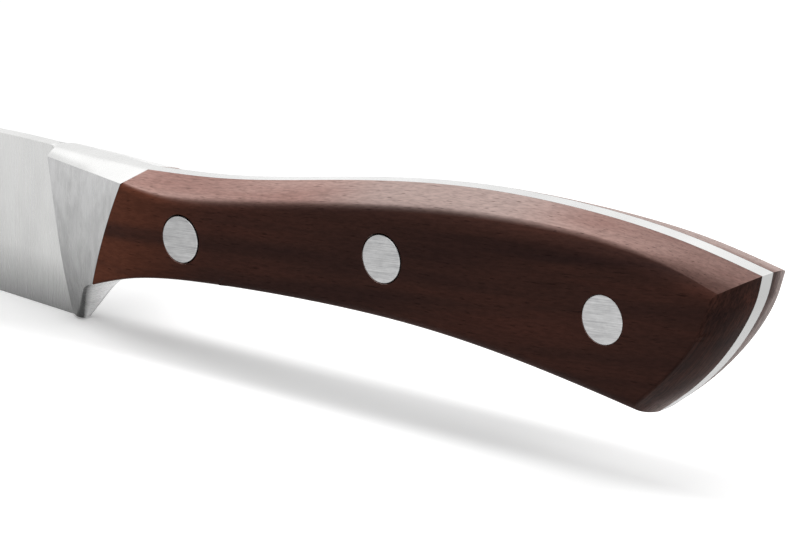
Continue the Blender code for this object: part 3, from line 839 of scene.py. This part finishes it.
    def sections(self) -> tuple[list[Line], int, int]:
        """Half rings from the middle of the rear face to the tip.

        Returns:
            The half rings, the number of the bolster's rear corner ring and of its front corner ring.
        """
        corner, middle = self.rear_lines()
        rings = [self.arched(self.rear_section(column, corner, middle), 0.0)
                 for column in range(self.guard_columns)]
        rear_number = len(rings)
        upper = np.linspace(0.0, 1 - self.guard_share, self.joint_levels)
        levels = [*upper, *(1 - self.guard_share * (1 - self.guard_shares()))]
        tang = DRAWING.tang_thickness / 2
        rear = [(*DRAWING.crown[0], 0.0), (*DRAWING.crown[0], tang), *corner, middle[-1]]
        front = [(*self.crown_front, 0.0), (*self.crown_front, tang),
                 *spread(smooth_line(list(self.front), CURVE_POINTS), levels), (*self.front_heel, 0.0)]
        blade = self.blade_section(0.0, levels)
        for t in np.arange(self.bolster_stations) / self.bolster_stations:
            rise = min(1.0, t / self.crown_arched_by)
            half = [between(a, b, t) for a, b in zip(rear, front)]
            rings.append(self.arched(half, rise ** 2 * (3 - 2 * rise)))
        front_number = len(rings)
        for t in np.arange(self.shoulder_stations) / self.shoulder_stations:
            hollow = 1 - math.sqrt(1 - (1 - t) ** 2)
            shares = (1 - t, hollow, hollow)
            half = [tuple(a * k + b * (1 - k) for a, b, k in zip(here, there, shares))
                    for here, there in zip(front, blade)]
            rings.append(self.arched(half, hollow))
        for i in range(self.blade_stations + 1):
            station = 1 - (1 - i / self.blade_stations) ** self.tip_crowding
            rings.append(self.arched(self.blade_section(station, levels), 0.0))
        return rings, rear_number, front_number

    def blade_and_bolster(self) -> bpy.types.Object:
        """Sweep the bolster and blade, and soften the bolster's corners."""
        halves, rear_number, front_number = self.sections()
        rings = [half + [(x, z, -y) for x, z, y in reversed(half[1:-1])] for half in halves]
        rings.append([between(halves[-1][0], halves[-1][-1], 0.5)] * len(rings[0]))
        item = sweep("blade_and_tang", rings, closed=True)
        count, first = len(rings[0]), 2 + self.crown_points
        sides = {*range(first, len(halves[0]) - 1), *range(len(halves[0]), count - first + 1)}

        def weigh(a: Point, b: Point) -> float:
            """Soften the corners of the bolster's sides, the front one most, and its crown's ridges."""
            spots, stations = {a[3], b[3]}, {a[4], b[4]}
            if spots <= sides and stations in ({front_number}, {rear_number}):
                return 1.0 if stations == {front_number} else self.rear_rounding
            on_ridge = spots in ({first}, {count - first})
            return self.ridge_rounding if on_ridge and rear_number < max(stations) <= front_number else 0.0

        mesh = edit(item)
        spot, station = section_layers(mesh)
        # The bolster's sides and rear take the copy of the steel with its own painted shade and reflection.
        for face in mesh.faces:
            behind = max(vert[station] for vert in face.verts) <= front_number
            if behind and {vert[spot] for vert in face.verts} <= sides:
                face.material_index = 1
        bmesh.update_edit_mesh(item.data)
        deselect_all()

        bevel_weights(item, weigh)
        merge_and_turn_out(item)
        soften(item, self.corner_rounding, self.rounding_segments, clamp=True)
        return item

    def tang(self) -> bpy.types.Object:
        """Draw the tang's outline and extrude it to its thickness."""
        steps = self.tang_steps
        outline = smooth_line(list(DRAWING.crown), steps["crown"])
        outline += smooth_line(list(DRAWING.butt), steps["butt"])[1:-1]
        outline += smooth_line(list(DRAWING.belly), steps["belly"])
        low, high = DRAWING.belly[-1][1], DRAWING.side_crown[0][1]
        outline += [(DRAWING.joint_at(low) + self.tang_root, low + self.root_lift),
                    (DRAWING.joint_at(high) + self.tang_root, high)]
        half = DRAWING.tang_thickness / 2
        item = sweep("tang", [[(*spot, across) for spot in outline] for across in (-half, half)], closed=True)
        mesh = edit(item)
        for number in (0, 1):
            _, station = section_layers(mesh)
            bpy.ops.mesh.select_all(action="DESELECT")
            for vert in mesh.verts:
                vert.select = vert[station] == number
            mesh.select_flush(True)
            bpy.ops.mesh.edge_face_add()
            mesh = bmesh.from_edit_mesh(item.data)
        merge_and_turn_out(item)
        return item

    def build(self, materials: Materials) -> None:
        """Make the whole forging in its finish, with the bolster's sides and rear in a copy of that steel
        with more painted shade and a painted reflection.
        """
        item = self.blade_and_bolster()
        cut(item, self.tang(), "UNION")
        reach = DRAWING.tang_thickness
        profile = [(0.0, -reach), (self.bore_radius, -reach), (self.bore_radius, reach), (0.0, reach)]
        for name, centre in RIVETS.items():
            cut(item, turned("tang_bore_" + name, profile, centre, self.bore_sides))
        shade(item)
        finish_piece(item, materials, "satin_steel", "blade_forging")


@dataclass
class Scale:
    """A wooden scale: six shaped sheets joined into one closed body. Sizes in millimetres."""

    side: Side
    gap: float = 0.04             # between the wood and the steel that it is fitted to
    facet_bulge: float = 0.18
    crown_roundings: Points = ((0.0, 0.9), (8.0, 1.5), (25.0, 2.3), (45.0, 1.9), (70.0, 1.4),
                               (100.0, 1.3), (118.0, 0.3))  # distance from the butt, rounding
    belly_roundings: Points = ((0.0, 1.2), (60.0, 1.2), (118.0, 0.3))
    butt_rounding: float = 0.3
    rounding_segments: int = 8
    ridge_tolerance: float = 0.0001        # of the depth, which is 1 on the flat side
    length_steps: int = 110
    height_steps: int = 24
    row_by_ridge: float = 0.125   # share of the side's height, wider than the rounding
    column_by_ridge: float = 0.02
    fine_points: int = 600        # of a long line before it is shared out
    facet_shares: tuple = (0.0, 0.12, 0.24, 0.36, 0.48, 0.59, 0.70, 1.0)
    head_radius: float = 3.53
    drilled_wide: dict = field(default_factory=lambda: {"front": (-0.15, 0.1), "middle": (-0.12, 0.09)})
    head_depth: float = 2.4
    bore_radius: float = 2.45
    bore_sides: int = 96
    mouth_reach: float = 1.0      # how far a hole's cutter stands out of the wood

    def shares_down(self) -> np.ndarray:
        """Shares of the side's height at its rows, the first and last of which hold a rounded ridge."""
        return np.r_[0.0, np.linspace(self.row_by_ridge, 1 - self.row_by_ridge, self.height_steps - 1), 1.0]

    def shares_along(self) -> np.ndarray:
        """Shares of the side's length at its columns, the last of which holds a rounded ridge."""
        return np.r_[np.linspace(0.0, 1 - self.column_by_ridge, self.length_steps), 1.0]

    def joint_line(self, low: float, high: float) -> Line:
        """Line of the joint with the bolster between two heights, from the top down."""
        heights = high + (low - high) * self.shares_down()
        return [(DRAWING.joint_at(height) - self.gap, height) for height in heights]

    def outline(self, crown: Points, butt: Points, belly: Points) -> tuple[Line, Line, Line, Line]:
        """Crown, butt, belly and joint lines of a closed outline, each end to end with the next.

        Args:
            crown: Points of the crown line, from the joint to the butt.
            butt: Points of the butt line, from the crown down.
            belly: Points of the belly line, from the butt to the joint.

        Returns:
            The crown line and the belly line from joint to butt, the butt line and the joint line
            from the top down.
        """
        lengthways, down = list(self.shares_along()), list(self.shares_down())
        top = spread(smooth_line(list(crown), self.fine_points), lengthways)
        end = spread(smooth_line(list(butt), self.fine_points), down)
        bottom = spread(smooth_line(list(belly), self.fine_points)[::-1], lengthways)
        joint = self.joint_line(belly[-1][1], crown[0][1])
        top[0], bottom[0] = joint[0], joint[-1]
        return top, bottom, end, joint

    def patch(self, name: str, top: Line, bottom: Line, left: Line, right: Line) -> bpy.types.Object:
        """Sweep a sheet that fills four lines, as a Coons patch.

        Args:
            name: Name of the sheet.
            top: Line from left to right along the top.
            bottom: Line from left to right along the bottom.
            left: Line from top to bottom on the left.
            right: Line from top to bottom on the right.

        Returns:
            The sheet.
        """
        across, down = self.shares_along(), self.shares_down()
        above, below, start, stop = (np.array(line, float) for line in (top, bottom, left, right))
        columns = []
        for i, u in enumerate(across):
            high, low = (line[0] * (1 - u) + line[-1] * u for line in (above, below))
            column = []
            for j, v in enumerate(down):
                ruled = above[i] * (1 - v) + below[i] * v + start[j] * (1 - u) + stop[j] * u
                column.append(tuple(ruled - (high * (1 - v) + low * v)))
            columns.append(column)
        return sweep(name, columns, closed=False)

    def facet(self, name: str, inner: Line, outer: Line) -> bpy.types.Object:
        """Sweep a facet from a line at the tang out to a line on the ridge, slightly swelled."""
        rows = []
        for a, b in zip(inner, outer):
            swell = 4 * self.facet_bulge * (1 - b[0] / DRAWING.joint_marks[-1][0])
            rows.append([(*between(a, b, share - swell * share * (1 - share)), share)
                         for share in self.facet_shares])
        return sweep(name, rows, closed=False)

    def body(self) -> bpy.types.Object:
        """Join the six sheets, with the depth across as a share, and merge their seams."""
        inner = self.outline(DRAWING.crown, DRAWING.butt, DRAWING.belly)
        outer = self.outline(DRAWING.side_crown, DRAWING.side_butt, DRAWING.side_belly)
        flat = [[(*spot, 1.0) for spot in line] for line in outer]
        back = [[(*spot, 0.0) for spot in line] for line in inner]
        sheets = [self.patch("side", flat[0], flat[1], flat[3], flat[2]),
                  self.patch("back", back[0], back[1], back[3], back[2]),
                  self.facet("crown_facet", inner[0], outer[0]),
                  self.facet("belly_facet", inner[1], outer[1]),
                  self.facet("butt_facet", inner[2], outer[2]),
                  self.facet("joint_face", inner[3], outer[3])]
        deselect_all()
        for sheet in sheets:
            sheet.select_set(True)
        bpy.context.view_layer.objects.active = sheets[0]
        bpy.ops.object.join()
        item = bpy.context.object
        item.name = item.data.name = f"scale_{self.side.name.lower()}_wood"
        merge_and_turn_out(item)
        return item

    def key(self, spot: Point) -> Point:
        """Distance and height of a point, rounded to look it up."""
        return tuple(round(value, 3) for value in spot[:2])

    def set_depths(self, item: bpy.types.Object) -> None:
        """Turn each vertex's depth, drawn as a share of 1 mm, into its distance from the middle."""
        mesh = edit(item)
        inner = DRAWING.tang_thickness / 2 + self.gap
        for vert in mesh.verts:
            width = DRAWING.half_width((BUTT_X - vert.co.x) / MM)
            vert.co.y = (inner + vert.co.y / MM * (width - inner)) * self.side.value * MM
        bmesh.update_edit_mesh(item.data)
        bpy.ops.mesh.select_all(action="SELECT")
        bpy.ops.mesh.normals_make_consistent(inside=False)
        deselect_all()

    def ridge_roundings(self) -> dict[Point, float]:
        """Points of the flat side's crown, butt and belly lines, each with its rounding."""
        top, bottom, end, _ = self.outline(DRAWING.side_crown, DRAWING.side_butt, DRAWING.side_belly)
        roundings = {self.key(spot): self.butt_rounding for spot in end}
        for line, drawn in ((top, self.crown_roundings), (bottom, self.belly_roundings)):
            roundings.update({self.key(spot): float(np.interp(spot[0], *zip(*drawn))) for spot in line})
        return roundings

    def counterbore(self, name: str, centre: Point) -> bpy.types.Object:
        """Cutter for a rivet's hole in this scale, off its centre and as much wider if drilled wide."""
        offset = self.drilled_wide.get(name, (0.0, 0.0))
        radius = self.head_radius + math.hypot(*offset)
        face = DRAWING.half_width(centre[0])
        floor = face - self.head_depth - self.gap
        mouth = face + self.mouth_reach
        profile = [(0.0, 0.0), (self.bore_radius, 0.0), (self.bore_radius, floor), (radius, floor),
                   (radius, mouth), (0.0, mouth)]
        profile = [(out, across * self.side.value) for out, across in profile]
        spot = tuple(a + b for a, b in zip(centre, offset))
        return turned("hole_" + name, profile, spot, self.bore_sides)

    def build(self, material: bpy.types.Material) -> None:
        """Make the scale in its finish."""
        item = self.body()
        ridge = self.ridge_roundings()
        widest = max(ridge.values())

        def weigh(a: Point, b: Point) -> float:
            """Round an edge of the flat side's outline by the lesser of its ends' roundings."""
            ends = [ridge.get(self.key(spot), 0.0) if abs(spot[2] - 1.0) < self.ridge_tolerance else 0.0
                    for spot in (a, b)]
            return min(ends) / widest

        bevel_weights(item, weigh)
        self.set_depths(item)
        soften(item, widest, self.rounding_segments, clamp=False)
        for name, centre in RIVETS.items():
            cut(item, self.counterbore(name, centre))
        shade(item)
        finish_piece(item, (material,), "dark_wood", f"scale_{self.side.name.lower()}")


@dataclass
class Rivet:
    """A two-part cutler's rivet: heads let into the scales on a shank through the tang."""

    head_radius: float = 3.5
    head_depth: float = 2.4
    edge_rounding: float = 0.16
    edge_steps: int = 6
    ground_depth: float = 0.24    # of a head below its face, which follows the scale's side
    dome: float = 0.03
    dome_rings: int = 5
    ring_spacing: float = 0.6
    socket_radius: float = 2.3
    pin_radius: float = 1.2
    gap: float = 0.05
    sides: int = 96

    def head(self, face: float) -> Line:
        """Profile of a head from its rim to the middle of its face, as (radius, distance across)."""
        angles = [math.pi / 2 * step / self.edge_steps for step in range(self.edge_steps + 1)]
        profile = [(self.head_radius - self.edge_rounding * (1 - math.cos(angle)),
                    face - self.edge_rounding * (1 - math.sin(angle))) for angle in angles]
        for ring in range(self.dome_rings, -1, -1):
            radius = ring * self.ring_spacing
            profile.append((radius, face + self.dome * (1 - (radius / self.head_radius) ** 2)))
        return profile

    def profile(self, side: Side, face: float) -> Line:
        """Whole profile of the half on one side, for a face at a distance from the middle."""
        under = face - self.head_depth
        end = self.gap - under
        if side is Side.LEFT:
            bore = self.pin_radius + self.gap
            shank = [(0.0, under), (bore, under), (bore, end), (self.socket_radius, end),
                     (self.socket_radius, under)]
        else:
            shank = [(0.0, end), (self.pin_radius, end), (self.pin_radius, under)]
        return shank + [(self.head_radius, under), *self.head(face)]

    def build(self, name: str, side: Side, material: bpy.types.Material) -> None:
        """Make one half of a rivet, with its face ground flush with the scale.

        Args:
            name: Which rivet it is.
            side: The side that its head is on.
            material: Its finish.
        """
        centre = RIVETS[name]
        face = DRAWING.half_width(centre[0])
        part = "socket" if side is Side.LEFT else "pin"
        profile = [(radius, across * side.value) for radius, across in self.profile(side, face)]
        item = turned(f"rivet_{name}_{part}_steel", profile, centre, self.sides)
        mesh = edit(item)
        for vert in mesh.verts:
            if abs(vert.co.y) / MM > face - self.ground_depth:
                width = DRAWING.half_width((BUTT_X - vert.co.x) / MM)
                vert.co.y += (width - face) * side.value * MM
        bmesh.update_edit_mesh(item.data)
        deselect_all()
        shade(item)
        finish_piece(item, (material,), "rivet_steel", f"rivet_{name}_{part}")


@dataclass(frozen=True)
class Softbox:
    """A soft rectangular lamp aimed at the handle. Places and sizes are in metres."""

    name: str
    at: Point
    size: Point
    power: float                  # watts
    lights_matt: bool = True      # False for a lamp that only the steel reflects
    aim: Point = (0.08, 0.0, 0.02)

    def build(self) -> None:
        """Hang the lamp."""
        data = bpy.data.lights.new(self.name, "AREA")
        data.shape = "RECTANGLE"
        data.size, data.size_y = self.size
        data.energy = self.power
        item = bpy.data.objects.new(self.name, data)
        bpy.context.scene.collection.objects.link(item)
        item.location = self.at
        item.rotation_euler = (Vector(self.aim) - Vector(self.at)).to_track_quat("-Z", "Y").to_euler()
        item.visible_diffuse = self.lights_matt


@dataclass
class Studio:
    """Camera, white paper and soft lamps.

    The photograph's shadow is narrower than the lamps cast it, and runs a little aslant to the knife.
    So the paper gives some light of its own, least along the line of that shadow.
    """

    lens: float = 191.25
    sensor: float = 36.0
    clip: tuple = (0.01, 20.0)    # metres
    position: Point = (458.235, -450.243, 201.401)
    right: Point = (0.76608694, 0.64091702, 0.04833401)
    up: Point = (-0.22469526, 0.19660366, 0.95438936)
    back: Point = (0.60218174, -0.74200564, 0.29462651)
    lamps: tuple = (Softbox("overhead_softbox", (0.3, -0.12, 0.9), (1.4, 0.8), 8.4),
                    Softbox("back_softbox", (-0.55, 0.6, 0.85), (0.8, 0.8), 0.8, lights_matt=False))
    world_fill: float = 0.25
    white: str = "#FFFFFF"
    paper_colour: str = "#F9F9F9"
    paper_bounce: str = "#8C8C8C"
    paper_size: float = 6.0       # metres
    paper_below: float = 0.05     # mm, so that it doesn't touch the edge
    glow: float = 0.29            # the paper's own light along the shadow
    glow_steps: tuple = ((-20.0, 0.0, -0.15), (20.0, 42.0, 0.15), (104.0, 132.0, 0.12))
    #                               mm along X where it changes, and by how much: less under the blade,
    #                               more toward the butt
    side_glow: float = 0.62       # beside the shadow of the handle
    side_reach: tuple = (28.0, 50.0)       # mm along X where that begins
    far_glow: float = 0.6         # more of it far from the knife, where the lamps reach less
    far_reach: tuple = (170.0, 320.0)      # mm from the origin
    shadow_turn: float = math.radians(8.0)
    shadow_line: float = 8.64     # mm that the shadow's middle passes in front of the origin
    shadow_half: tuple = (3.5, 11.0)       # mm from its middle, where it starts and ends to fade

    def camera(self) -> None:
        """Place the camera where the photograph was taken from."""
        data = bpy.data.cameras.new("camera")
        data.sensor_width = self.sensor
        data.lens = self.lens
        data.clip_start, data.clip_end = self.clip
        item = bpy.data.objects.new("camera", data)
        bpy.context.scene.collection.objects.link(item)
        turn = Matrix((self.right, self.up, self.back)).transposed().to_4x4()
        item.matrix_world = Matrix.Translation(Vector(self.position) * MM) @ turn
        bpy.context.scene.camera = item

    def shown(self, nodes: Nodes) -> bpy.types.Node:
        """Return 1 for rays from the camera, from reflections and through glass, and 0 for others."""
        rays = nodes.add("LightPath").outputs
        seen = nodes.add("Math", rays["Is Camera Ray"], rays["Is Glossy Ray"], operation="MAXIMUM")
        return nodes.add("Math", seen, rays["Is Transmission Ray"], operation="MAXIMUM")

    def paper_glow(self, nodes: Nodes) -> bpy.types.Node:
        """Return the strength of the paper's own light."""
        spot = nodes.add("TexCoord").outputs["Object"]
        along = nodes.add("SeparateXYZ", spot).outputs["X"]
        aslant = nodes.add("Mapping", spot, Rotation=(0.0, 0.0, -self.shadow_turn))
        across = nodes.add("SeparateXYZ", aslant).outputs["Y"]
        offset = nodes.add("Math", across, self.shadow_line * MM, operation="ADD")
        distance = nodes.add("Math", offset, operation="ABSOLUTE")
        inside = self.glow
        for start, end, change in self.glow_steps:
            step = nodes.add("MapRange", along, *metres(start, end), 0.0, change, **SMOOTH)
            inside = nodes.add("Math", inside, step, operation="ADD")
        beside = nodes.add("MapRange", along, *metres(*self.side_reach), self.glow, self.side_glow, **SMOOTH)
        near = nodes.add("MapRange", distance, *metres(*self.shadow_half), inside, beside, **SMOOTH)
        radius = nodes.add("VectorMath", spot, operation="LENGTH")
        far = nodes.add("MapRange", radius, *metres(*self.far_reach), 0.0, self.far_glow, **SMOOTH)
        return nodes.add("Math", near, far, operation="ADD")

    def paper(self) -> None:
        """Lay a wide matt paper that shows white, keeps the shadow and bounces little light back."""
        deselect_all()
        bpy.ops.mesh.primitive_plane_add(size=self.paper_size, location=(0.0, 0.0, -self.paper_below * MM))
        item = bpy.context.object
        item.name = "floor"
        material, nodes = new_material("white_paper_matt")
        shown = self.shown(nodes)
        colour = nodes.add("Mix", shown, self.paper_bounce, self.paper_colour, **COLOURS)
        level = nodes.add("Math", shown, self.paper_glow(nodes), operation="MULTIPLY")
        matt = nodes.add("BsdfDiffuse", colour)
        light = nodes.add("Emission", self.white, level)
        nodes.add("OutputMaterial", nodes.add("AddShader", matt, light))
        item.data.materials.append(material)

    def world(self) -> None:
        """Light the scene evenly and faintly, and show white in reflections."""
        world = bpy.data.worlds.new("studio")
        world.use_nodes = True
        bpy.context.scene.world = world
        nodes = Nodes(world.node_tree)
        strength = nodes.add("MapRange", self.shown(nodes), 0.0, 1.0, self.world_fill, 1.0)
        nodes.add("OutputWorld", nodes.add("Background", self.white, strength))

    def build(self) -> None:
        """Set up the whole studio."""
        self.camera()
        self.paper()
        self.world()
        for lamp in self.lamps:
            lamp.build()
        bpy.context.scene.view_settings.view_transform = "Standard"


def main() -> None:
    """Build the studio and the knife."""
    logging.basicConfig(level=logging.INFO, format="%(name)s %(message)s")
    for item in list(bpy.data.objects):
        if item.type in ("CAMERA", "LIGHT"):
            bpy.data.objects.remove(item, do_unlink=True)
    Studio().build()
    steel = SatinSteel().build()
    # The bolster's sides and rear: the same satin steel with darker painted shade toward the edge, a painted
    # reflection on its rear face and larger painted reflection blotches.
    shaded_bolster_steel = SatinSteel(name="stainless_steel_satin_bolster_painted_shade", crown="#C0C0C0", top="#BFBFBF",
                               middle="#9F9F9F", middle_at=0.36, bottom="#525252", rear="#E2E2E2",
                               reflection_blotches=Grain((1.4, 16.67, 4.0), 5.0, 0.6), reflection_blotch_shade=0.2).build()
    rivet_steel = BrushedRivetSteel().build()
    wood = OiledRosewood().build()
    Forging().build((steel, shaded_bolster_steel))
    for side in Side:
        Scale(side).build(wood)
        for name in RIVETS:
            Rivet().build(name, side, rivet_steel)


if __name__ == "__main__":
    main()
